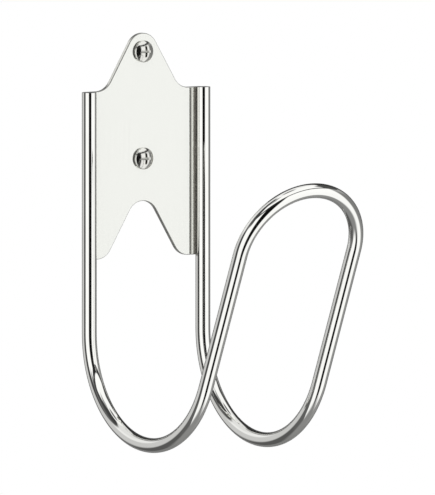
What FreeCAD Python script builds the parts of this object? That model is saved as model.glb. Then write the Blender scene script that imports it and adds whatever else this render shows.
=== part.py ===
import FreeCAD, Part

import math
import os

# Wall hanger for a coiled garden hose: one bent round bar welded to the front of a flat wall plate.
# Millimetres, +Z up, X along the wall. The wall is the plane Y = 0 and the hanger stands out to -Y.
# The origin lies on the wall, midway between the two screws.

# Bent bar
bar_diameter = 8.0
bar_spacing = 75.0        # between the centre lines of the two legs
rear_leg_length = 130.5   # straight part of each rear leg, from its cut top to the cradle bend
cradle_radius = 57.3      # centre line of the bend that carries the hose
lean_angle = 23.6         # degrees that the front loop leans away from the wall
front_leg_length = 80.5   # straight part of each front leg, below the arch
bar_end_chamfer = 0.4
weld_sink = 1.0           # depth that the bar is pressed into the plate by the spot welds

# Wall plate, one of a nested row of blanks: its lower edge is the upper edge of the next blank
plate_thickness = 2.5
plate_width = 77.0
blank_pitch = 91.0        # from the shoulders down to the feet
ear_radius = 10.0         # round top, on the centre of the upper screw hole
ear_hole_rise = 20.5      # upper screw hole above the shoulders
flank_angle = 31.5        # degrees between the ear's straight flanks and the vertical
shoulder_radius = 10.0    # between a flank and a shoulder
plate_edge_break = 0.3    # arris of the front face
hole_spacing = 58.0
hole_clearance = 0.35     # round the screw's thread, on the radius

# Pan-head screws with a cross recess
head_diameter = 12.0
head_height = 3.5
head_side_height = 1.3    # straight side, below the slope
head_top_diameter = 7.0   # flat top, round the recess
neck_diameter = 5.4       # plain shank under the head
neck_length = 3.0
thread_diameter = 6.3
screw_length = 16.0       # from the head's seat to the point
point_length = 4.0
recess_span = 6.8
recess_wing = 1.4
recess_depth = 2.2
recess_taper = 0.55       # size of the recess's floor, as a share of its mouth

# Places that follow from the sizes above
bar_radius = bar_diameter / 2
leg_x = bar_spacing / 2
plate_front_y = -plate_thickness
bar_y = plate_front_y - bar_radius + weld_sink
upper_hole_z = hole_spacing / 2
shoulder_z = upper_hole_z - ear_hole_rise
foot_z = shoulder_z - blank_pitch
cradle_z = shoulder_z - rear_leg_length
lean = math.radians(lean_angle)
flank = math.radians(flank_angle)

X_AXIS = FreeCAD.Vector(1, 0, 0)
Y_AXIS = FreeCAD.Vector(0, 1, 0)
Z_AXIS = FreeCAD.Vector(0, 0, 1)


def bar_section(centre, direction):
    """A disc of the bar's section, square to the given direction."""
    return Part.Face(Part.Wire(Part.makeCircle(bar_radius, centre, direction)))


def make_rear_leg(x):
    """A rear leg, from the cradle bend up to its chamfered top."""
    foot = FreeCAD.Vector(x, bar_y, cradle_z)
    leg = bar_section(foot, Z_AXIS).extrude(Z_AXIS * rear_leg_length)
    rim = [edge for edge in leg.Edges if edge.isClosed() and edge.BoundBox.ZMin > cradle_z + bar_radius]
    return leg.makeChamfer(bar_end_chamfer, rim)


def make_cradle_bend(x):
    """The bend from a rear leg, forward under the hose and up into the front loop."""
    start = bar_section(FreeCAD.Vector(x, bar_y, cradle_z), Z_AXIS)
    bend_centre = FreeCAD.Vector(x, bar_y - cradle_radius, cradle_z)
    return start.revolve(bend_centre, -X_AXIS, 180 - lean_angle)


def make_bar():
    """The whole bar: two rear legs, two cradle bends and the leaning front loop, with its weld flats."""
    leg_direction = FreeCAD.Vector(0, -math.sin(lean), math.cos(lean))
    front_foot_y = bar_y - cradle_radius - cradle_radius * math.cos(lean)
    front_foot_z = cradle_z - cradle_radius * math.sin(lean)
    lengths = []
    for x in (-leg_x, leg_x):
        front_foot = FreeCAD.Vector(x, front_foot_y, front_foot_z)
        front_leg = bar_section(front_foot, leg_direction).extrude(leg_direction * front_leg_length)
        lengths += [make_rear_leg(x), make_cradle_bend(x), front_leg]

    arch_centre = FreeCAD.Vector(0, front_foot_y, front_foot_z) + leg_direction * front_leg_length
    arch_start = bar_section(arch_centre + X_AXIS * leg_x, leg_direction)
    lengths.append(arch_start.revolve(arch_centre, X_AXIS.cross(leg_direction), 180))

    bar = lengths[0].multiFuse(lengths[1:]).removeSplitter()
    for x in (-leg_x, leg_x):
        corner = FreeCAD.Vector(x - bar_radius, plate_front_y, foot_z)
        bar = bar.cut(Part.makeBox(bar_diameter, bar_diameter, blank_pitch, corner))
    return bar.Solids[0]


def ear_edges(base_z):
    """The edges from shoulder to shoulder over the ear, left to right, on the wall plane."""
    def place(x, z):
        return FreeCAD.Vector(x, 0, base_z + z)

    def mirrored(p):
        return FreeCAD.Vector(-p.x, p.y, p.z)

    corner_x = (ear_radius + ear_hole_rise * math.sin(flank)) / math.cos(flank)
    tangent = shoulder_radius * math.tan((math.pi / 2 - flank) / 2)
    bisector = math.radians(225) + flank / 2
    end = place(plate_width / 2, 0)
    on_shoulder = place(corner_x + tangent, 0)
    in_corner = place(corner_x + tangent + shoulder_radius * math.cos(bisector),
                      shoulder_radius + shoulder_radius * math.sin(bisector))
    on_flank = place(corner_x - tangent * math.sin(flank), tangent * math.cos(flank))
    on_ear = place(ear_radius * math.cos(flank), ear_hole_rise + ear_radius * math.sin(flank))
    apex = place(0, ear_hole_rise + ear_radius)
    return [
        Part.LineSegment(mirrored(end), mirrored(on_shoulder)).toShape(),
        Part.Arc(mirrored(on_shoulder), mirrored(in_corner), mirrored(on_flank)).toShape(),
        Part.LineSegment(mirrored(on_flank), mirrored(on_ear)).toShape(),
        Part.Arc(mirrored(on_ear), apex, on_ear).toShape(),
        Part.LineSegment(on_ear, on_flank).toShape(),
        Part.Arc(on_flank, in_corner, on_shoulder).toShape(),
        Part.LineSegment(on_shoulder, end).toShape(),
    ]


def screw_places():
    """The points on the wall plane where the two screws go in."""
    return [FreeCAD.Vector(0, 0, z) for z in (upper_hole_z, upper_hole_z - hole_spacing)]


def make_plate():
    """The wall plate, with its front arrises broken and the two screw holes drilled."""
    upper = ear_edges(shoulder_z)
    lower = ear_edges(foot_z)
    sides = [Part.LineSegment(FreeCAD.Vector(x, 0, foot_z), FreeCAD.Vector(x, 0, shoulder_z)).toShape()
             for x in (-plate_width / 2, plate_width / 2)]
    outline = Part.Wire(Part.__sortEdges__(upper + lower + sides))
    plate = Part.Face(outline).extrude(-Y_AXIS * plate_thickness)
    arrises = [edge for edge in plate.Edges if edge.BoundBox.YMax < plate_front_y + plate_edge_break]
    plate = plate.makeChamfer(plate_edge_break, arrises)
    hole_radius = thread_diameter / 2 + hole_clearance
    for place in screw_places():
        plate = plate.cut(Part.makeCylinder(hole_radius, plate_thickness, place, -Y_AXIS))
    return plate.Solids[0]


def make_recess():
    """The cross recess as one tool: two tapered wedges at right angles, their mouths at the head's top."""
    floor_y = recess_depth - head_height
    wedges = []
    for half_x, half_z in ((recess_span / 2, recess_wing / 2), (recess_wing / 2, recess_span / 2)):
        floor_x = half_x * recess_taper
        floor_z = half_z * recess_taper
        wedges.append(Part.makeWedge(-half_x, -head_height, -half_z, -floor_z, -floor_x,
                                     half_x, floor_y, half_z, floor_z, floor_x))
    return wedges[0].fuse(wedges[1])


def make_screw():
    """One screw about the Y axis, its head's seat at Y = 0 and its point towards +Y."""
    def at(radius, y):
        return FreeCAD.Vector(radius, y, 0)

    thread_radius = thread_diameter / 2
    profile = [at(0, -head_height), at(head_top_diameter / 2, -head_height),
               at(head_diameter / 2, -head_side_height), at(head_diameter / 2, 0),
               at(neck_diameter / 2, 0), at(neck_diameter / 2, neck_length), at(thread_radius, neck_length),
               at(thread_radius, screw_length - point_length), at(0, screw_length)]
    outline = Part.makePolygon(profile + profile[:1])
    blank = Part.Face(outline).revolve(FreeCAD.Vector(0, 0, 0), Y_AXIS, 360)
    return blank.cut(make_recess())


def make_screws():
    """Both screws, each with its head seated on the plate's front."""
    screws = []
    for place in screw_places():
        screw = make_screw()
        screw.translate(place + Y_AXIS * plate_front_y)
        screws += screw.Solids
    return Part.makeCompound(screws)


pieces = {
    "wall_plate": make_plate(),
    "hanger_bar": make_bar(),
    "wall_screws": make_screws(),
}

os.makedirs("parts", exist_ok=True)
for name, shape in pieces.items():
    shape.exportStep(os.path.join("parts", name + ".step"))
    print(name, "solids", len(shape.Solids), "valid", shape.isValid(), "volume", round(shape.Volume, 1))
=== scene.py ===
"""Looks of a wall hanger: a bent bright bar, a pressed wall plate and two screws.

Sizes are millimetres in the hanger's own frame (+Z up, the wall at Y = 0, the hanger towards -Y) unless
a name says otherwise. Blender's lengths are metres, so every point is multiplied by MM once.
"""

import logging
import math
from collections.abc import Callable
from dataclasses import dataclass
from enum import Enum

import bmesh
import bpy
from bpy.types import Material, Mesh, Node, NodeSocket, NodeTree, Object
from mathutils import Matrix, Vector


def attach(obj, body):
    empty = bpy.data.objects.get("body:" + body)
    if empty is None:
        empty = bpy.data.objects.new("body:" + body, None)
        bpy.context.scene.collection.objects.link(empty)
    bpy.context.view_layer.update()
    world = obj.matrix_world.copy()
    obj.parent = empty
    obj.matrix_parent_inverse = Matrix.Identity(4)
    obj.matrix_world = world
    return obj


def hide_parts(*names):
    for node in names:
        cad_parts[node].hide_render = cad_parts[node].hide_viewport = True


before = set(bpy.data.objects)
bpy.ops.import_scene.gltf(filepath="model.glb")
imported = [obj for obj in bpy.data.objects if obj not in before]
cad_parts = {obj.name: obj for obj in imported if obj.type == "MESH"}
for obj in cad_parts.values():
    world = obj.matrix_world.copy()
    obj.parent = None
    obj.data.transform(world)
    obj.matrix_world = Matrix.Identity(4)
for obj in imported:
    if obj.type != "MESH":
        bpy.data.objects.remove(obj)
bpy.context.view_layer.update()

LOG = logging.getLogger("hanger")
MM = 0.001
BODY = "root"
SMOOTH_ANGLE = math.radians(32)
FLAT_FACE = 0.9999                 # a face whose normal has this much of an axis is square to it
NOISE_LOW = 0.3                    # most of a noise texture's values lie between this
NOISE_HIGH = 0.7                   # and this


class Slot(Enum):
    """The record's material slots."""

    PLATE = "plate_steel"
    BAR = "bar_steel"
    SCREWS = "screw_steel"


def linear_colour(hex_code: str) -> tuple[float, float, float, float]:
    """Turn an sRGB hex colour into Blender's linear colour.

    Args:
        hex_code: Six hex digits after a hash sign.

    Returns:
        Red, green, blue and an alpha of 1.
    """
    channels = [int(hex_code[place:place + 2], 16) / 255 for place in (1, 3, 5)]
    linear = [c / 12.92 if c <= 0.04045 else ((c + 0.055) / 1.055) ** 2.4 for c in channels]
    return (linear[0], linear[1], linear[2], 1.0)


def first_output(node: Node) -> NodeSocket:
    """The first of a node's outputs that its settings leave in use."""
    return next(socket for socket in node.outputs if socket.enabled)


def add_node(tree: NodeTree, kind: str, inputs: dict | None = None, **settings) -> Node:
    """Add a node, set it up and wire its inputs.

    Args:
        tree: The node tree that gets the node.
        kind: Blender's name for the node's type.
        inputs: By input name or number, a value, an output socket to link from, or a node to link from
            by its first output.
        **settings: Properties of the node itself.

    Returns:
        The new node.
    """
    node = tree.nodes.new(kind)
    for name, value in settings.items():
        setattr(node, name, value)
    for key, value in (inputs or {}).items():
        if isinstance(value, Node):
            value = first_output(value)
        if isinstance(value, NodeSocket):
            tree.links.new(value, node.inputs[key])
        else:
            node.inputs[key].default_value = value
    return node


def wire_metal(material: Material, colour: Node, gloss: Node, relief: Node,
               metallic: float, depth: float, strength: float) -> None:
    """Wire a metal's colour, gloss and relief into its shader.

    Args:
        material: The material, with the shader that Blender starts it with.
        colour: The node that gives its colour.
        gloss: The node that gives its roughness.
        relief: The node that gives the height of its fine marks, from 0 to 1.
        metallic: How much of it is bare metal.
        depth: How deep the marks go.
        strength: How much of them shows.
    """
    tree = material.node_tree
    shader = tree.nodes["Principled BSDF"]
    bump = add_node(tree, "ShaderNodeBump",
                    {"Height": relief, "Strength": strength, "Distance": depth * MM})
    shader.inputs["Metallic"].default_value = metallic
    for name, source in (("Base Color", colour), ("Roughness", gloss), ("Normal", bump)):
        tree.links.new(first_output(source), shader.inputs[name])


def bridge(shape: bmesh.types.BMesh, rings: list[list[bmesh.types.BMVert]]) -> None:
    """Join each closed ring of points to the following one by a band of faces.

    Args:
        shape: The shape under construction.
        rings: Its rings, each with as many points as the others.
    """
    for ring, following in zip(rings, rings[1:]):
        for index, point in enumerate(ring):
            after = (index + 1) % len(ring)
            shape.faces.new((point, ring[after], following[after], following[index]))


def mesh_of(shape: bmesh.types.BMesh, name: str) -> Mesh:
    """Turn a closed shape into a mesh that faces outwards.

    Args:
        shape: The shape, which is used up.
        name: The mesh's name.

    Returns:
        The mesh.
    """
    bmesh.ops.recalc_face_normals(shape, faces=shape.faces[:])
    mesh = bpy.data.meshes.new(name)
    shape.to_mesh(mesh)
    shape.free()
    return mesh


def finished_mesh(piece: Object) -> Mesh:
    """Keep what an object is after its modifiers.

    Args:
        piece: The object.

    Returns:
        A plain mesh.
    """
    bpy.context.view_layer.update()
    graph = bpy.context.evaluated_depsgraph_get()
    return bpy.data.meshes.new_from_object(piece.evaluated_get(graph), depsgraph=graph)


def new_piece(name: str, mesh: Mesh) -> Object:
    """Put a finished mesh into the scene.

    Args:
        name: The object's name.
        mesh: Its mesh.

    Returns:
        The object, at the origin.
    """
    piece = bpy.data.objects.new(name, mesh)
    bpy.context.scene.collection.objects.link(piece)
    return piece


def shade_smooth(mesh: Mesh) -> None:
    """Shade a mesh smooth, apart from the edges that turn sharply."""
    mesh.shade_smooth()
    mesh.set_sharp_from_angle(angle=SMOOTH_ANGLE)


@dataclass
class NodeShape:
    """A Geometry Nodes tree under construction, with named inputs for its sizes."""

    name: str

    def __post_init__(self) -> None:
        """Start the tree with its geometry in and out."""
        self.tree = bpy.data.node_groups.new(self.name, "GeometryNodeTree")
        self.tree.interface.new_socket("Geometry", in_out="INPUT", socket_type="NodeSocketGeometry")
        self.tree.interface.new_socket("Geometry", in_out="OUTPUT", socket_type="NodeSocketGeometry")
        self.group_in = self.tree.nodes.new("NodeGroupInput")
        self.identifiers: dict[str, str] = {}

    def size(self, name: str, kind: str = "NodeSocketFloat") -> NodeSocket:
        """Add a named input.

        Args:
            name: The input's name.
            kind: Blender's name for the socket's type.

        Returns:
            The socket that carries the input inside the tree.
        """
        item = self.tree.interface.new_socket(name, in_out="INPUT", socket_type=kind)
        self.identifiers[name] = item.identifier
        return self.group_in.outputs[name]

    def end(self, geometry: Node, material: Material) -> None:
        """Close the tree: realise what is instanced, set the material and hand the geometry out.

        Args:
            geometry: The node that gives what the tree has made.
            material: Its material.
        """
        real = add_node(self.tree, "GeometryNodeRealizeInstances", {"Geometry": geometry})
        dressed = add_node(self.tree, "GeometryNodeSetMaterial", {"Geometry": real, "Material": material})
        add_node(self.tree, "NodeGroupOutput", {"Geometry": dressed})

    def mesh_from(self, source: Object, sizes: dict[str, object], name: str) -> Mesh:
        """Run the tree on an object and keep the result as a plain mesh.

        Args:
            source: The curve or mesh that the tree works on. It is removed afterwards.
            sizes: A value for each named input.
            name: The new mesh's name.

        Returns:
            The plain mesh.
        """
        modifier = source.modifiers.new(self.name, "NODES")
        modifier.node_group = self.tree
        for label, value in sizes.items():
            modifier[self.identifiers[label]] = value
        mesh = finished_mesh(source)
        mesh.name = name
        source.modifiers.remove(modifier)
        bpy.data.objects.remove(source)
        return mesh


@dataclass(frozen=True)
class DrawnSteel:
    """Stainless round bar, drawn through a die and polished.

    It is nearly a mirror. The die leaves hair-fine lines along the bar, which break the reflections' edges
    a little, and the polish leaves slow changes of tone. The flanks that the two rear legs turn towards each
    other carry painted shade close to the plate, where the bar meets the plate.
    """

    colour: str = "#FAFAF7"
    shade: str = "#F0F0EC"
    line_width: float = 0.45       # real die lines are finer than a pixel, so these are drawn coarser
    line_length: float = 60.0
    cloud_size: float = 18.0
    gloss: tuple[float, float] = (0.02, 0.05)
    line_depth: float = 0.0004
    # painted shade on the rear legs' inner flanks, where the bar meets the plate
    painted_shade_colour: str = "#A3A19C"
    shade_height: float = 2.9       # of the painted shade above the plate's front, at its darkest
    shade_reach: float = 1.3        # from there to where it ends, towards the plate and away from it
    shade_full: float = 0.6         # from there to where it starts to fade
    shade_inward: float = 1.5       # from a leg's centre line to where it is darkest
    shade_foot: float = 1.0         # over this length it ends below the plate

    def material(self, plate: "WallPlate", weld_spacing: float) -> Material:
        """Make the bar's material.

        Args:
            plate: The plate that the two rear legs are welded to.
            weld_spacing: Distance between the centre lines of those legs.

        Returns:
            The material. It reads Object coordinates, and the place round and along the bar from the
            bar's own mesh.
        """
        material = bpy.data.materials.new("drawn_stainless_bar")
        material.use_nodes = True
        tree = material.node_tree
        place = add_node(tree, "ShaderNodeAttribute", attribute_name="bar_place").outputs["Vector"]
        stretch = (1 / self.line_width, 1 / self.line_width, 1 / self.line_length)
        along = add_node(tree, "ShaderNodeVectorMath", {0: place, 1: stretch}, operation="MULTIPLY")
        lines = add_node(tree, "ShaderNodeTexNoise",
                         {"Vector": along, "Scale": 1.0, "Detail": 3.0, "Roughness": 0.6})
        clouds = add_node(tree, "ShaderNodeTexNoise",
                          {"Vector": place, "Scale": 1 / self.cloud_size, "Detail": 2.0})
        tone = add_node(tree, "ShaderNodeMix", {"Factor": clouds, "A": linear_colour(self.shade),
                                                "B": linear_colour(self.colour)}, data_type="RGBA")
        # painted shade: the rear legs' inner flanks are darkened close to the plate, where bar and plate
        # meet
        spot = add_node(tree, "ShaderNodeTexCoord")
        parts = add_node(tree, "ShaderNodeSeparateXYZ", {"Vector": spot.outputs["Object"]})
        aside = add_node(tree, "ShaderNodeMath", {0: parts.outputs["X"]}, operation="ABSOLUTE")
        above = add_node(tree, "ShaderNodeMath",
                         {0: parts.outputs["Y"], 1: (plate.thickness + self.shade_height) * MM})
        off = add_node(tree, "ShaderNodeMath", {0: above}, operation="ABSOLUTE")
        contact_shade = 1.0
        for distance, start, full in (
                (aside, weld_spacing / 2, weld_spacing / 2 - self.shade_inward),
                (off, self.shade_reach, self.shade_full),
                (parts.outputs["Z"], plate.foot_z - self.shade_foot, plate.foot_z)):
            share = add_node(tree, "ShaderNodeMapRange", {"Value": distance, "From Min": start * MM,
                                                          "From Max": full * MM})
            contact_shade = add_node(tree, "ShaderNodeMath", {0: contact_shade, 1: share}, operation="MULTIPLY")
        shaded_tone = add_node(tree, "ShaderNodeMix", {"Factor": contact_shade, "A": tone,
                                                  "B": linear_colour(self.painted_shade_colour)}, data_type="RGBA")
        gloss = add_node(tree, "ShaderNodeMapRange",
                         {"Value": lines, "From Min": NOISE_LOW, "From Max": NOISE_HIGH,
                          "To Min": self.gloss[0], "To Max": self.gloss[1]})
        wire_metal(material, shaded_tone, gloss, lines, metallic=1.0, depth=self.line_depth, strength=0.1)
        return material


@dataclass(frozen=True)
class SheetSteel:
    """Stainless sheet with a bright rolled face, blanked in a press.

    The front is a soft mirror with a faint upright grain from the rolls, with painted shade close beside
    the bar where the bar meets it. The back keeps the mill's dull, cloudy finish. The cut edges are satin
    between two arrises painted darker as edge shade, with fine lines across the sheet's thickness from the
    shear.
    """

    colour: str = "#F6F7F2"
    shade: str = "#EEEFEA"
    mill_colour: str = "#EDEEEA"
    mill_shade: str = "#D9DAD6"
    edge_colour: str = "#EAEAE4"
    # painted edge shade along the middle of each rounded arris
    arris_shade_colour: str = "#8A8A86"
    # painted shade on the front beside each bar, where bar and plate meet
    painted_shade_colour: str = "#B0ADA7"
    shade_band_gloss: float = 0.5        # the band of painted shade beside the bar is also rougher
    shade_reach: float = 4.15       # from the bar's centre line to where the painted shade ends
    shade_full: float = 3.85        # from the bar's centre line to where it is darkest
    grain_width: float = 0.5       # real roll grain is finer than a pixel, so it is drawn coarser
    grain_length: float = 45.0
    shear_width: float = 0.35
    shear_length: float = 12.5     # longer than the sheet is thick, so each line runs right across
    cloud_size: float = 11.0       # of the mill finish
    cloud_range: tuple[float, float] = (0.35, 0.65)     # of the noise, from the darker tone to the lighter
    front_gloss: tuple[float, float] = (0.03, 0.05)
    back_gloss: tuple[float, float] = (0.45, 0.57)
    edge_gloss: float = 0.2
    grain_depth: float = 0.0005
    metallic: float = 0.8          # the rest is the haze of fine scratches, pale from every side

    def material(self, thickness: float, weld_spacing: float) -> Material:
        """Make the plate's material.

        Args:
            thickness: The sheet's thickness, whose middle parts the bright front from the duller back.
            weld_spacing: Distance between the centre lines of the two legs that are welded on.

        Returns:
            The material. It reads Object coordinates and the plate's own cut_edge attribute.
        """
        material = bpy.data.materials.new("bright_rolled_stainless_sheet")
        material.use_nodes = True
        tree = material.node_tree
        place = add_node(tree, "ShaderNodeTexCoord").outputs["Object"]
        streaks = []
        for sizes, detail, roughness in (
                ((self.grain_width, self.grain_width, self.grain_length), 3.0, 0.55),
                ((self.shear_width, self.shear_length, self.shear_width), 2.0, 0.5)):
            stretch = tuple(1 / (size * MM) for size in sizes)
            scaled = add_node(tree, "ShaderNodeVectorMath", {0: place, 1: stretch}, operation="MULTIPLY")
            streaks.append(add_node(tree, "ShaderNodeTexNoise", {"Vector": scaled, "Scale": 1.0,
                                                                 "Detail": detail, "Roughness": roughness}))
        grain, shear = streaks
        clouds = add_node(tree, "ShaderNodeTexNoise",
                          {"Vector": place, "Scale": 1 / (self.cloud_size * MM), "Detail": 5.0})
        cut = add_node(tree, "ShaderNodeAttribute", attribute_name="cut_edge").outputs["Fac"]
        parts = add_node(tree, "ShaderNodeSeparateXYZ", {"Vector": place})
        is_back = add_node(tree, "ShaderNodeMath", {0: parts.outputs["Y"], 1: -thickness / 2 * MM},
                           operation="GREATER_THAN")
        tone = add_node(tree, "ShaderNodeMix", {"Factor": grain, "A": linear_colour(self.shade),
                                                "B": linear_colour(self.colour)}, data_type="RGBA")
        # painted shade, darker and rougher, on the front beside each bar where bar and plate meet
        aside = add_node(tree, "ShaderNodeMath", {0: parts.outputs["X"]}, operation="ABSOLUTE")
        inward = add_node(tree, "ShaderNodeMath", {0: weld_spacing / 2 * MM, 1: aside}, operation="SUBTRACT")
        contact_shade = add_node(tree, "ShaderNodeMapRange", {"Value": inward, "From Min": self.shade_reach * MM,
                                                     "From Max": self.shade_full * MM})
        cloudy = add_node(tree, "ShaderNodeMapRange", {"Value": clouds, "From Min": self.cloud_range[0],
                                                       "From Max": self.cloud_range[1]})
        mill = add_node(tree, "ShaderNodeMix", {"Factor": cloudy, "A": linear_colour(self.mill_shade),
                                                "B": linear_colour(self.mill_colour)}, data_type="RGBA")
        # painted edge shade: the middle of each rounded edge is drawn darker
        half = 0.5                     # an arris lies halfway from a face to the cut edge
        between = add_node(tree, "ShaderNodeMath", {0: cut, 1: half}, operation="PINGPONG")
        arris = add_node(tree, "ShaderNodeMapRange", {"Value": between, "From Max": half})
        for share, over in ((contact_shade, linear_colour(self.painted_shade_colour)), (is_back, mill),
                            (cut, linear_colour(self.edge_colour)),
                            (arris, linear_colour(self.arris_shade_colour))):
            tone = add_node(tree, "ShaderNodeMix", {"Factor": share, "A": tone, "B": over}, data_type="RGBA")
        faces = []
        for pattern, (low, high) in ((grain, self.front_gloss), (clouds, self.back_gloss)):
            faces.append(add_node(tree, "ShaderNodeMapRange",
                                  {"Value": pattern, "From Min": NOISE_LOW, "From Max": NOISE_HIGH,
                                   "To Min": low, "To Max": high}))
        gloss, back_gloss = faces
        for share, over in ((contact_shade, self.shade_band_gloss), (is_back, back_gloss), (cut, self.edge_gloss)):
            gloss = add_node(tree, "ShaderNodeMix", {"Factor": share, "A": gloss, "B": over})
        relief = add_node(tree, "ShaderNodeMix", {"Factor": cut, "A": grain, "B": shear})
        wire_metal(material, tone, gloss, relief,
                   metallic=self.metallic, depth=self.grain_depth, strength=0.1)
        return material


@dataclass(frozen=True)
class PlatedSteel:
    """Cold-headed screw steel with a bright nickel plating.

    It is a little duller than the bar. The heading dies leave faint rings about the axis, and the plating
    is duller still down in the recess, where its colour also darkens with depth as painted shade.
    """

    colour: str = "#EDEDE8"
    shade: str = "#DEDED8"
    # painted shade at the recess's floor
    recess_shade_colour: str = "#B0B0AB"
    ring_width: float = 0.5
    fleck_size: float = 1.6
    gloss: tuple[float, float] = (0.10, 0.16)
    recess_gloss: float = 0.25
    dull_and_shade_range: tuple[float, float] = (0.1, 0.5)        # of the recess's depth, where it dulls and darkens with painted shade
    ring_depth: float = 0.001

    def material(self) -> Material:
        """Make the screws' material.

        Returns:
            The material. It reads each screw's own turned_place and recess_depth attributes.
        """
        material = bpy.data.materials.new("nickel_plated_screw_steel")
        material.use_nodes = True
        tree = material.node_tree
        place = add_node(tree, "ShaderNodeAttribute", attribute_name="turned_place").outputs["Vector"]
        parts = add_node(tree, "ShaderNodeSeparateXYZ", {"Vector": place})
        flat = add_node(tree, "ShaderNodeCombineXYZ", {"X": parts.outputs["X"], "Z": parts.outputs["Z"]})
        radius = add_node(tree, "ShaderNodeVectorMath", {0: flat}, operation="LENGTH")
        turned = add_node(tree, "ShaderNodeCombineXYZ", {"X": radius, "Y": parts.outputs["Y"]})
        marks = []
        for where, size, detail in ((turned, self.ring_width, 2.0), (place, self.fleck_size, 3.0)):
            marks.append(add_node(tree, "ShaderNodeTexNoise",
                                  {"Vector": where, "Scale": 1 / size, "Detail": detail}))
        rings, flecks = marks
        plating = add_node(tree, "ShaderNodeMix", {"Factor": flecks, "A": linear_colour(self.shade),
                                                   "B": linear_colour(self.colour)}, data_type="RGBA")
        # deeper in the recess the plating is rougher, and its colour darkens as painted shade
        depth = add_node(tree, "ShaderNodeAttribute", attribute_name="recess_depth")
        dull = add_node(tree, "ShaderNodeMapRange",
                        {"Value": depth.outputs["Fac"], "From Min": self.dull_and_shade_range[0],
                         "From Max": self.dull_and_shade_range[1]})
        tone = add_node(tree, "ShaderNodeMix", {"Factor": dull, "A": plating,
                                                "B": linear_colour(self.recess_shade_colour)}, data_type="RGBA")
        polish = add_node(tree, "ShaderNodeMapRange",
                          {"Value": rings, "From Min": NOISE_LOW, "From Max": NOISE_HIGH,
                           "To Min": self.gloss[0], "To Max": self.gloss[1]})
        gloss = add_node(tree, "ShaderNodeMix", {"Factor": dull, "A": polish, "B": self.recess_gloss})
        wire_metal(material, tone, gloss, rings, metallic=1.0, depth=self.ring_depth, strength=0.2)
        return material


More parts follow.
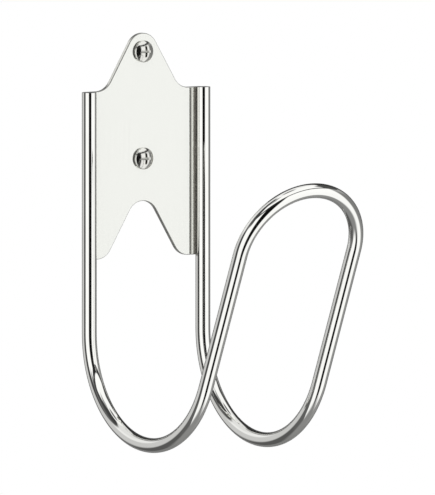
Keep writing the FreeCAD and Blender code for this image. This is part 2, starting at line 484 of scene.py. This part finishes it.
@dataclass
class WallPlate:
    """The flat plate on the wall: an ear above, the matching notch below and two screw holes."""

    thickness: float = 2.5
    width: float = 77.0
    pitch: float = 91.0            # from the shoulders down to the feet
    ear_radius: float = 10.0
    ear_hole_rise: float = 20.5
    flank_angle: float = 31.5      # degrees from the vertical
    shoulder_radius: float = 10.0
    hole_spacing: float = 58.0
    hole_radius: float = 3.5
    front_round: float = 0.45      # rolled over by the press
    back_round: float = 0.5        # tumbled smooth
    arc_step: float = 3.0          # degrees between points on an arc
    round_steps: int = 6

    @property
    def shoulder_z(self) -> float:
        """Height of the shoulders."""
        return self.hole_spacing / 2 - self.ear_hole_rise

    @property
    def foot_z(self) -> float:
        """Height of the feet."""
        return self.shoulder_z - self.pitch

    def arc(self, centre: Vector, radius: float, start: float, end: float) -> list[Vector]:
        """Points on an arc in the plate's plane.

        Args:
            centre: The arc's centre, as across and up.
            radius: The arc's radius.
            start: The first point's angle in degrees, from across towards up.
            end: The last point's angle.

        Returns:
            The points, both ends included.
        """
        count = max(2, math.ceil(abs(end - start) / self.arc_step))
        angles = [math.radians(start + (end - start) * step / count) for step in range(count + 1)]
        return [centre + radius * Vector((math.cos(a), math.sin(a))) for a in angles]

    def ear_run(self, base_z: float) -> list[Vector]:
        """The edge from the left end of the shoulders, over the ear, to the right end.

        Args:
            base_z: Height of the shoulders.

        Returns:
            Points as across and up.
        """
        flank = math.radians(self.flank_angle)
        corner_x = (self.ear_radius + self.ear_hole_rise * math.sin(flank)) / math.cos(flank)
        tangent = self.shoulder_radius * math.tan((math.pi / 2 - flank) / 2)
        curve_centre = Vector((corner_x + tangent, base_z + self.shoulder_radius))
        ear_centre = Vector((0, base_z + self.ear_hole_rise))
        right = self.arc(ear_centre, self.ear_radius, 90, self.flank_angle)
        right += self.arc(curve_centre, self.shoulder_radius, 180 + self.flank_angle, 270)
        right.append(Vector((self.width / 2, base_z)))
        left = [Vector((-p.x, p.y)) for p in reversed(right[1:])]
        return left + right

    def outline(self) -> list[Vector]:
        """The plate's whole outline, clockwise as the front shows it."""
        return self.ear_run(self.shoulder_z) + list(reversed(self.ear_run(self.foot_z)))

    @staticmethod
    def moved_in(loop: list[Vector], inset: float) -> list[Vector]:
        """An edge of the plate moved into the metal by a small distance.

        Args:
            loop: The outline, clockwise, or a hole's edge, anticlockwise.
            inset: How far it moves in.

        Returns:
            The new edge, point for point.
        """
        moved = []
        for index, point in enumerate(loop):
            before = (point - loop[index - 1]).normalized()
            after = (loop[(index + 1) % len(loop)] - point).normalized()
            first = Vector((before.y, -before.x))
            second = Vector((after.y, -after.x))
            moved.append(point + inset * (first + second) / (1 + first.dot(second)))
        return moved

    def edge_section(self) -> list[tuple[float, float, float]]:
        """Work out the plate's rounded edge.

        Returns:
            Its section from front to back, as inset, Y and how far the surface is a cut one.
        """
        front, back = [], []
        for step in range(self.round_steps + 1):
            share = step / self.round_steps
            sine, cosine = math.sin(math.pi / 2 * share), math.cos(math.pi / 2 * share)
            front_y = -self.thickness + self.front_round * (1 - cosine)
            front.append((self.front_round * (1 - sine), front_y, share))
            back.append((self.back_round * (1 - sine), -self.back_round * (1 - cosine), share))
        return front + back[::-1]

    def build(self) -> Mesh:
        """Make the plate's shape, with its rounded edges and its holes.

        Returns:
            The plate's mesh.
        """
        shape = bmesh.new()
        cut_layer = shape.verts.layers.float.new("cut_edge")
        holes = [self.arc(Vector((0, up)), self.hole_radius, 0, 360)[:-1]
                 for up in (self.hole_spacing / 2, -self.hole_spacing / 2)]
        front_edges, back_edges = [], []
        for loop in [self.outline(), *holes]:
            rings = []
            for inset, y, cut in self.edge_section():
                ring = []
                for point in self.moved_in(loop, inset):
                    vert = shape.verts.new(Vector((point.x, y, point.y)) * MM)
                    vert[cut_layer] = cut
                    ring.append(vert)
                rings.append(ring)
            bridge(shape, rings)
            for ring, edges in ((rings[0], front_edges), (rings[-1], back_edges)):
                edges += [shape.edges.get((a, b)) for a, b in zip(ring, ring[1:] + ring[:1])]
        for edges in (front_edges, back_edges):
            bmesh.ops.triangle_fill(shape, use_beauty=True, edges=edges)
        mesh = mesh_of(shape, "wall_plate_bright")
        shade_smooth(mesh)
        for face in mesh.polygons:
            face.use_smooth = abs(face.normal.y) < FLAT_FACE
        return mesh

    def dress(self, finish: SheetSteel, weld_spacing: float) -> None:
        """Make the plate's piece, give it its finish and set it in place of its solid.

        Args:
            finish: The plate's finish.
            weld_spacing: Distance between the centre lines of the two legs that are welded on.
        """
        mesh = self.build()
        mesh.materials.append(finish.material(self.thickness, weld_spacing))
        settle(new_piece("wall_plate_bright", mesh), "wall_plate")


@dataclass
class BentBar:
    """The round bar: two rear legs on the plate, two cradle bends and the leaning front loop."""

    plate: WallPlate
    diameter: float = 8.0
    spacing: float = 75.0          # between the centre lines of the two legs
    rear_leg_length: float = 130.5
    cradle_radius: float = 57.3
    lean_angle: float = 23.6       # degrees that the front loop leans away from the wall
    front_leg_length: float = 80.5
    end_round: float = 0.5
    weld_sink: float = 1.0         # depth of the flats where the bar is welded to the plate
    bend_step: float = 2.0         # degrees between rings on a bend
    section_points: int = 64
    round_steps: int = 4

    def half_line(self) -> list[tuple[Vector, float]]:
        """Work out the centre line from the left rear leg's top to the middle of the arch.

        Returns:
            The line's points, each with the bar's radius there.
        """
        radius = self.diameter / 2
        side = -self.spacing / 2
        leg_y = -self.plate.thickness - radius + self.weld_sink
        top_z = self.plate.shoulder_z
        bend_z = top_z - self.rear_leg_length
        lean = math.radians(self.lean_angle)
        line = []
        for step in range(self.round_steps + 1):
            turn = math.pi / 2 * step / self.round_steps
            line.append((Vector((side, leg_y, top_z - self.end_round * (1 - math.cos(turn)))),
                         radius - self.end_round * (1 - math.sin(turn))))
        for z in (self.plate.foot_z + self.end_round, self.plate.foot_z - self.end_round):
            line.append((Vector((side, leg_y, z)), radius))
        bend_angle = 180 - self.lean_angle
        bend_count = math.ceil(bend_angle / self.bend_step)
        for step in range(bend_count + 1):
            turn = math.radians(bend_angle * step / bend_count)
            line.append((Vector((side, leg_y - self.cradle_radius * (1 - math.cos(turn)),
                                 bend_z - self.cradle_radius * math.sin(turn))), radius))
        up_leg = Vector((0, -math.sin(lean), math.cos(lean)))
        arch_centre = line[-1][0] + up_leg * self.front_leg_length - Vector((side, 0, 0))
        arch_count = math.ceil(90 / self.bend_step)
        for step in range(arch_count + 1):
            turn = math.radians(90 * step / arch_count)
            line.append((arch_centre + Vector((side * math.cos(turn), 0, 0))
                         - up_leg * side * math.sin(turn), radius))
        return line

    def centre_line(self) -> Object:
        """Draw the whole centre line, end to end.

        Returns:
            The line as a curve object, with the bar's radius at each point.
        """
        left = self.half_line()
        right = [(Vector((-p.x, p.y, p.z)), radius) for p, radius in reversed(left[:-1])]
        curve = bpy.data.curves.new("bar_centre_line", "CURVE")
        curve.dimensions = "3D"
        spline = curve.splines.new("POLY")
        spline.points.add(len(left) + len(right) - 1)
        for point, (place, radius) in zip(spline.points, left + right):
            point.co = (*place * MM, 1.0)
            point.radius = radius / (self.diameter / 2)
        line = bpy.data.objects.new("bar_centre_line", curve)
        bpy.context.scene.collection.objects.link(line)
        return line

    def sweep(self, material: Material) -> NodeShape:
        """The node tree that sweeps the bar's round section along a centre line.

        Args:
            material: The bar's material.

        Returns:
            The tree, with the bar's diameter, its section's points and the weld flats as inputs.
        """
        shape = NodeShape("bar_sweep")
        tree = shape.tree
        diameter = shape.size("Bar diameter")
        points = shape.size("Section points", "NodeSocketInt")
        flat_y = shape.size("Weld flat Y")
        flat_foot = shape.size("Weld flat foot")
        radius = add_node(tree, "ShaderNodeMath", {0: diameter, 1: 0.5}, operation="MULTIPLY")
        circle = add_node(tree, "GeometryNodeCurvePrimitiveCircle",
                          {"Resolution": points, "Radius": radius})
        section = add_node(tree, "GeometryNodeInputPosition")
        named_section = add_node(tree, "GeometryNodeStoreNamedAttribute",
                                 {"Geometry": circle, "Name": "section", "Value": section},
                                 data_type="FLOAT_VECTOR")
        along = add_node(tree, "GeometryNodeSplineParameter")
        named_line = add_node(tree, "GeometryNodeStoreNamedAttribute",
                              {"Geometry": shape.group_in.outputs["Geometry"], "Name": "along",
                               "Value": along.outputs["Length"]}, data_type="FLOAT")
        swept = add_node(tree, "GeometryNodeCurveToMesh",
                         {"Curve": named_line, "Profile Curve": named_section, "Fill Caps": True})
        place = add_node(tree, "GeometryNodeInputPosition")
        parts = add_node(tree, "ShaderNodeSeparateXYZ", {"Vector": place})
        behind = add_node(tree, "FunctionNodeCompare", {"A": parts.outputs["Y"], "B": flat_y},
                          data_type="FLOAT", operation="GREATER_THAN")
        above = add_node(tree, "FunctionNodeCompare", {"A": parts.outputs["Z"], "B": flat_foot},
                         data_type="FLOAT", operation="GREATER_THAN")
        pressed = add_node(tree, "FunctionNodeBooleanMath", {0: behind, 1: above}, operation="AND")
        flat_place = add_node(tree, "ShaderNodeCombineXYZ",
                              {"X": parts.outputs["X"], "Y": flat_y, "Z": parts.outputs["Z"]})
        flattened = add_node(tree, "GeometryNodeSetPosition",
                             {"Geometry": swept, "Selection": pressed, "Position": flat_place})
        read_section = add_node(tree, "GeometryNodeInputNamedAttribute", {"Name": "section"},
                                data_type="FLOAT_VECTOR")
        read_along = add_node(tree, "GeometryNodeInputNamedAttribute", {"Name": "along"}, data_type="FLOAT")
        round_parts = add_node(tree, "ShaderNodeSeparateXYZ", {"Vector": read_section})
        bar_place = add_node(tree, "ShaderNodeCombineXYZ",
                             {"X": round_parts.outputs["X"], "Y": round_parts.outputs["Y"],
                              "Z": read_along})
        in_mm = add_node(tree, "ShaderNodeVectorMath", {0: bar_place, "Scale": 1 / MM}, operation="SCALE")
        placed = add_node(tree, "GeometryNodeStoreNamedAttribute",
                          {"Geometry": flattened, "Name": "bar_place", "Value": in_mm},
                          data_type="FLOAT_VECTOR", domain="POINT")
        shape.end(placed, material)
        return shape

    def dress(self, finish: DrawnSteel) -> None:
        """Sweep the bar, give it its finish and set it in place of its solid.

        Args:
            finish: The bar's finish.
        """
        sizes = {"Bar diameter": self.diameter * MM, "Section points": self.section_points,
                 "Weld flat Y": -self.plate.thickness * MM, "Weld flat foot": self.plate.foot_z * MM}
        material = finish.material(self.plate, self.spacing)
        mesh = self.sweep(material).mesh_from(self.centre_line(), sizes, "hanger_bar_polished")
        shade_smooth(mesh)
        settle(new_piece("hanger_bar_polished", mesh), "hanger_bar")


@dataclass
class WallScrews:
    """The two pan-head screws with cross recesses that hold the plate on the wall."""

    plate: WallPlate
    count: int = 2
    head_diameter: float = 12.0
    head_height: float = 3.5
    crown_radius: float = 9.8
    rim_radius: float = 1.1
    neck_radius: float = 2.7
    neck_length: float = 2.6
    core_radius: float = 2.3
    crest_radius: float = 3.12
    pitch: float = 2.2
    crest_share: float = 0.42      # part of the pitch that the thread's ridge takes
    crest_power: float = 0.8       # under 1, the ridge's flanks bulge a little
    point_ridge: float = 0.25      # height of the ridge near the point, as a share of the full one
    point_fade: float = 6.0        # the ridge dies out over the point's length divided by this
    length: float = 16.0
    point_length: float = 4.0
    point_radius: float = 0.1
    recess_arms: int = 4           # each a quarter turn from the next
    recess_span: float = 6.8
    recess_wing: float = 1.4
    recess_depth: float = 2.2
    recess_taper: float = 0.5      # length of the recess's floor, as a share of its mouth
    wing_taper: float = 0.5        # how much the wings narrow, as a share of how much they shorten
    recess_lift: float = 0.5       # how far the recess's cutter stands out of the head
    around: int = 72               # points round the screw
    crown_steps: int = 14
    rim_steps: int = 12
    thread_step: float = 0.11      # along the axis, between rings of the thread

    def head_rings(self) -> list[tuple[float, float]]:
        """Work out the profile of the head and the neck.

        Returns:
            Its points from next to the crown's top, as radius and Y.
        """
        head_radius = self.head_diameter / 2
        rim_centre = head_radius - self.rim_radius
        rim_reach = self.crown_radius - self.rim_radius
        rim_start = math.asin(rim_centre / rim_reach)
        rim_y = self.crown_radius - self.head_height - rim_reach * math.cos(rim_start)
        rings = []
        for step in range(1, self.crown_steps + 1):
            turn = rim_start * step / self.crown_steps
            rings.append((self.crown_radius * math.sin(turn),
                          self.crown_radius * (1 - math.cos(turn)) - self.head_height))
        for step in range(1, self.rim_steps + 1):
            turn = rim_start + (math.pi / 2 - rim_start) * step / self.rim_steps
            rings.append((rim_centre + self.rim_radius * math.sin(turn),
                          rim_y - self.rim_radius * math.cos(turn)))
        rings += [(head_radius, 0.0), (self.neck_radius, 0.0), (self.neck_radius, self.neck_length)]
        return rings

    def thread_radius(self, y: float, angle: float) -> float:
        """The threaded shank's radius.

        Args:
            y: Distance from the head's seat.
            angle: Angle about the axis, in radians.

        Returns:
            The radius there: the core's, plus the ridge where the helix passes.
        """
        left = max(0.0, min(1.0, (self.length - y) / self.point_length))
        core = self.point_radius + (self.core_radius - self.point_radius) * left
        run_in = max(0.0, min(1.0, (y - self.neck_length) / self.pitch))
        phase = (y / self.pitch - angle / (2 * math.pi)) % 1
        from_crest = abs(phase - 0.5) / (self.crest_share / 2)
        ridge = max(0.0, 1 - from_crest) ** self.crest_power
        run_out = (self.point_ridge + (1 - self.point_ridge) * left) * min(1.0, self.point_fade * left)
        return core + (self.crest_radius - self.core_radius) * run_in * run_out * ridge

    def blank(self) -> Mesh:
        """Make one screw without its recess.

        Returns:
            Its mesh, the seat at Y = 0 and the head towards -Y.
        """
        angles = [2 * math.pi * step / self.around for step in range(self.around)]
        rows: list[tuple[float, Callable[[float], float]]] = []
        for radius, y in self.head_rings():
            rows.append((y, lambda angle, radius=radius: radius))
        count = math.ceil((self.length - self.neck_length) / self.thread_step)
        for step in range(1, count + 1):
            y = self.neck_length + (self.length - self.neck_length) * step / count
            rows.append((y, lambda angle, y=y: self.thread_radius(y, angle)))
        shape = bmesh.new()
        rings = []
        for y, radius_at in rows:
            ring = []
            for angle in angles:
                radius = radius_at(angle)
                place = Vector((radius * math.cos(angle), y, radius * math.sin(angle)))
                ring.append(shape.verts.new(place * MM))
            rings.append(ring)
        bridge(shape, rings)
        for ring, tip_y in ((rings[0], -self.head_height), (rings[-1], self.length)):
            tip = shape.verts.new(Vector((0, tip_y, 0)) * MM)
            for index in range(self.around):
                shape.faces.new((ring[index], ring[(index + 1) % self.around], tip))
        return mesh_of(shape, "screw_blank")

    def recess(self) -> Mesh:
        """Make the cross recess as a cutter: two tapered bars at right angles.

        Returns:
            The cutter's mesh, one closed shape.
        """
        top_y = -self.head_height - self.recess_lift
        floor_y = self.recess_depth - self.head_height
        slope = (1 - self.recess_taper) / self.recess_depth
        shape = bmesh.new()
        rings = []
        for y, share in ((top_y, 1 + slope * self.recess_lift), (floor_y, self.recess_taper)):
            long = self.recess_span / 2 * share
            wing = self.recess_wing / 2 * (1 - self.wing_taper * (1 - share))
            arm = [(long, -wing), (long, wing), (wing, wing)]
            corners = []
            for _ in range(self.recess_arms):
                corners += arm
                arm = [(-z, x) for x, z in arm]
            rings.append([shape.verts.new(Vector((x, y, z)) * MM) for x, z in corners])
        for ring in rings:
            shape.faces.new(ring)
        bridge(shape, rings)
        return mesh_of(shape, "screw_recess")

    def depth_share(self, place: Vector) -> float:
        """How deep a point lies in the recess.

        Args:
            place: A point of the screw.

        Returns:
            0 on the head's outside, up to 1 at the recess's floor.
        """
        radius = math.hypot(place.x, place.z)
        if place.y > 0 or radius > self.recess_span / 2:
            return 0.0
        crown_y = self.crown_radius - self.head_height - math.sqrt(self.crown_radius ** 2 - radius ** 2)
        return max(0.0, min(1.0, (place.y - crown_y) / self.recess_depth))

    def build(self) -> Object:
        """Make one whole screw.

        Returns:
            The screw as an object, its recess cut and its own places stored on its points.
        """
        screw = new_piece("one_screw", self.blank())
        cutter = new_piece("screw_recess", self.recess())
        cut = screw.modifiers.new("recess", "BOOLEAN")
        cut.operation = "DIFFERENCE"
        cut.solver = "EXACT"
        cut.object = cutter
        mesh = finished_mesh(screw)
        for spare in (screw, cutter):
            bpy.data.objects.remove(spare)
        shade_smooth(mesh)
        spots = [vert.co / MM for vert in mesh.vertices]
        places = mesh.attributes.new("turned_place", "FLOAT_VECTOR", "POINT")
        for place, spot in zip(places.data, spots):
            place.vector = spot
        depths = mesh.attributes.new("recess_depth", "FLOAT", "POINT")
        for depth, spot in zip(depths.data, spots):
            depth.value = self.depth_share(spot)
        return new_piece("one_screw", mesh)

    def row(self, material: Material) -> NodeShape:
        """The node tree that sets the screws in a row, one at each hole.

        Args:
            material: The screws' material.

        Returns:
            The tree, with the number of screws, the first one's place and the step between them as inputs.
        """
        shape = NodeShape("screw_row")
        count = shape.size("Screws", "NodeSocketInt")
        first = shape.size("First screw", "NodeSocketVector")
        step = shape.size("Step", "NodeSocketVector")
        line = add_node(shape.tree, "GeometryNodeMeshLine",
                        {"Count": count, "Start Location": first, "Offset": step})
        placed = add_node(shape.tree, "GeometryNodeInstanceOnPoints",
                          {"Points": line, "Instance": shape.group_in.outputs["Geometry"]})
        shape.end(placed, material)
        return shape

    def dress(self, finish: PlatedSteel) -> None:
        """Set both screws at their holes, give them their finish and set them in place of their solids.

        Args:
            finish: The screws' finish.
        """
        spacing = self.plate.hole_spacing * MM
        sizes = {"Screws": self.count, "First screw": (0.0, -self.plate.thickness * MM, spacing / 2),
                 "Step": (0.0, 0.0, -spacing)}
        mesh = self.row(finish.material()).mesh_from(self.build(), sizes, "wall_screws_plated")
        settle(new_piece("wall_screws_plated", mesh), "wall_screws")


def settle(piece: Object, node: str) -> None:
    """Let a piece stand for its CAD node and ride on the hanger's one body.

    Args:
        piece: The finished piece.
        node: The CAD node's name.
    """
    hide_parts(node)
    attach(piece, BODY)
    LOG.info("%s: %d faces, stands for %s", piece.name, len(piece.data.polygons), node)


@dataclass(frozen=True)
class Layer:
    """The studio's brightness from some height on: none of it at start, all of it at full.

    Heights are degrees of elevation. There is one level for each of the studio's stretches.
    """

    start: float
    full: float
    levels: tuple[float, ...]


@dataclass(frozen=True)
class Studio:
    """Soft studio light: white boxes to both sides and above, a dark gap where the camera stands.

    Azimuth 0 is in front of the plate and 90 at its right. From its height on, up or down, each layer
    takes the place of those before it.
    """

    stretches: tuple[tuple[float, float], ...] = (
        (-180, -171), (-167, -127), (-122, -96), (-92, -76), (-70, -44),
        (-40, -4), (1, 58), (64, 105), (112, 138), (144, 180))
    eye_level: tuple[float, ...] = (0.15, 0.62, 0.06, 1.08, 1.08, 0.004, 1.08, 0.22, 0.12, 0.15)
    layers: tuple[Layer, ...] = (
        Layer(-7, -12, (0.15, 0.62, 0.06, 1.06, 1.06, 0.006, 1.06, 0.24, 0.12, 0.15)),
        Layer(-14, -28, (0.10, 0.10, 0.12, 1.05, 1.05, 0.01, 1.05, 0.30, 0.24, 0.22)),
        Layer(-52, -72, (0.26,) * 10),        # the ground
        Layer(14, 24, (0.28, 0.90, 0.15, 0.10, 1.08, 0.02, 1.08, 0.38, 0.04, 0.05)),
        Layer(27, 29, (0.28, 0.90, 0.10, 0.06, 0.04, 0.02, 0.04, 0.08, 0.03, 0.04)),
        Layer(36, 39, (0.28, 0.80, 0.06, 0.05, 1.08, 1.08, 1.08, 0.08, 0.03, 0.04)),
        Layer(51, 56, (0.80, 0.80, 0.05, 0.06, 0.40, 1.05, 1.05, 1.05, 0.80, 0.80)),
        Layer(70, 75, (1.05,) * 10),          # the box above
        Layer(78, 84, (0.15,) * 10),          # the open ceiling
    )
    floor_z: float = -300.0
    floor_radius: float = 650.0
    floor_clear: float = 300.0     # the floor fades into the white backdrop from here outwards
    floor_points: int = 96
    floor_colour: str = "#F4F4F2"

    def round_about(self, tree: NodeTree, turn: Node, levels: tuple[float, ...]) -> Node:
        """Add the studio's brightness round the object at one height.

        Args:
            tree: The world's node tree.
            turn: The node that gives the azimuth, as a share of a whole turn from behind the object.
            levels: The brightness of each stretch.

        Returns:
            The node that gives the brightness, as a colour.
        """
        ramp = add_node(tree, "ShaderNodeValToRGB", {"Fac": turn})
        edges = [edge for stretch in self.stretches for edge in stretch]
        elements = ramp.color_ramp.elements
        while len(elements) < len(edges):
            elements.new(1.0)
        for index, (element, edge) in enumerate(zip(elements, edges)):
            level = levels[index // 2]
            element.position = (edge + 180) / 360
            element.color = (level, level, level, 1.0)
        return ramp

    def light(self) -> None:
        """Make the world: white to the camera, the studio to everything else."""
        world = bpy.data.worlds.new("studio")
        bpy.context.scene.world = world
        world.use_nodes = True
        tree = world.node_tree
        tree.nodes.clear()
        direction = add_node(tree, "ShaderNodeTexCoord")
        parts = add_node(tree, "ShaderNodeSeparateXYZ", {"Vector": direction.outputs["Generated"]})
        towards = add_node(tree, "ShaderNodeMath", {0: parts.outputs["Y"], 1: -1.0}, operation="MULTIPLY")
        azimuth = add_node(tree, "ShaderNodeMath", {0: parts.outputs["X"], 1: towards}, operation="ARCTAN2")
        turn = add_node(tree, "ShaderNodeMapRange",
                        {"Value": azimuth, "From Min": -math.pi, "From Max": math.pi})
        height = add_node(tree, "ShaderNodeMath", {0: parts.outputs["Z"]}, operation="ARCSINE")
        colour = self.round_about(tree, turn, self.eye_level)
        for layer in self.layers:
            amount = add_node(tree, "ShaderNodeMapRange",
                              {"Value": height, "From Min": math.radians(layer.start),
                               "From Max": math.radians(layer.full)}, interpolation_type="SMOOTHSTEP")
            colour = add_node(tree, "ShaderNodeMix",
                              {"Factor": amount, "A": colour,
                               "B": self.round_about(tree, turn, layer.levels)}, data_type="RGBA")
        ray = add_node(tree, "ShaderNodeLightPath")
        seen = add_node(tree, "ShaderNodeMix", {"Factor": ray.outputs["Is Camera Ray"], "A": colour,
                                                "B": (1.0, 1.0, 1.0, 1.0)}, data_type="RGBA")
        background = add_node(tree, "ShaderNodeBackground", {"Color": seen})
        add_node(tree, "ShaderNodeOutputWorld", {"Surface": background})

    def floor(self) -> None:
        """Make the pale floor: a disc that takes the object's shadow and fades out into the backdrop."""
        shape = bmesh.new()
        bmesh.ops.create_circle(shape, cap_ends=True, segments=self.floor_points,
                                radius=self.floor_radius * MM,
                                matrix=Matrix.Translation((0, 0, self.floor_z * MM)))
        mesh = bpy.data.meshes.new("studio_floor")
        shape.to_mesh(mesh)
        shape.free()
        material = bpy.data.materials.new("pale_studio_floor")
        material.use_nodes = True
        tree = material.node_tree
        tree.nodes.clear()
        place = add_node(tree, "ShaderNodeTexCoord")
        parts = add_node(tree, "ShaderNodeSeparateXYZ", {"Vector": place.outputs["Object"]})
        flat = add_node(tree, "ShaderNodeCombineXYZ", {"X": parts.outputs["X"], "Y": parts.outputs["Y"]})
        out = add_node(tree, "ShaderNodeVectorMath", {0: flat}, operation="LENGTH")
        fade = add_node(tree, "ShaderNodeMapRange",
                        {"Value": out, "From Min": self.floor_clear * MM,
                         "From Max": self.floor_radius * MM}, interpolation_type="SMOOTHSTEP")
        paint = add_node(tree, "ShaderNodeBsdfDiffuse", {"Color": linear_colour(self.floor_colour)})
        clear = add_node(tree, "ShaderNodeBsdfTransparent")
        surface = add_node(tree, "ShaderNodeMixShader", {"Fac": fade, 1: paint, 2: clear})
        add_node(tree, "ShaderNodeOutputMaterial", {"Surface": surface})
        mesh.materials.append(material)
        floor = new_piece("studio_floor", mesh)
        floor.visible_glossy = False


@dataclass(frozen=True)
class PhotoCamera:
    """The camera at the photograph's view, from the front left and a little above.

    The photograph was taken from so far off that its lines stay parallel, so the camera is orthographic.
    """

    aim: tuple[float, float, float] = (30.88, -28.7, -77.0)
    azimuth: float = -35.05
    elevation: float = 4.23
    distance: float = 2000.0
    clip_range: tuple[float, float] = (0.01, 10.0)      # as shares of the distance
    frame_height: float = 267.57   # over the frame's longer side

    def build(self) -> None:
        """Make the camera and let the scene use it."""
        around = math.radians(self.azimuth)
        up = math.radians(self.elevation)
        back = Vector((math.sin(around) * math.cos(up), -math.cos(around) * math.cos(up), math.sin(up)))
        lens = bpy.data.cameras.new("photo_camera")
        lens.type = "ORTHO"
        lens.ortho_scale = self.frame_height * MM
        lens.clip_start = self.distance * self.clip_range[0] * MM
        lens.clip_end = self.distance * self.clip_range[1] * MM
        camera = bpy.data.objects.new("photo_camera", lens)
        camera.location = (Vector(self.aim) + back * self.distance) * MM
        camera.rotation_mode = "QUATERNION"
        camera.rotation_quaternion = (-back).to_track_quat("-Z", "Y")
        bpy.context.scene.collection.objects.link(camera)
        bpy.context.scene.camera = camera


def main() -> None:
    """Build the studio, then the hanger piece by piece."""
    logging.basicConfig(level=logging.INFO, format="%(name)s: %(message)s")
    bpy.context.scene.view_settings.view_transform = "Standard"
    studio = Studio()
    studio.light()
    studio.floor()
    PhotoCamera().build()
    plate = WallPlate()
    bar = BentBar(plate)
    plate.dress(SheetSteel(), bar.spacing)
    bar.dress(DrawnSteel())
    WallScrews(plate).dress(PlatedSteel())


if __name__ == "__main__":
    main()
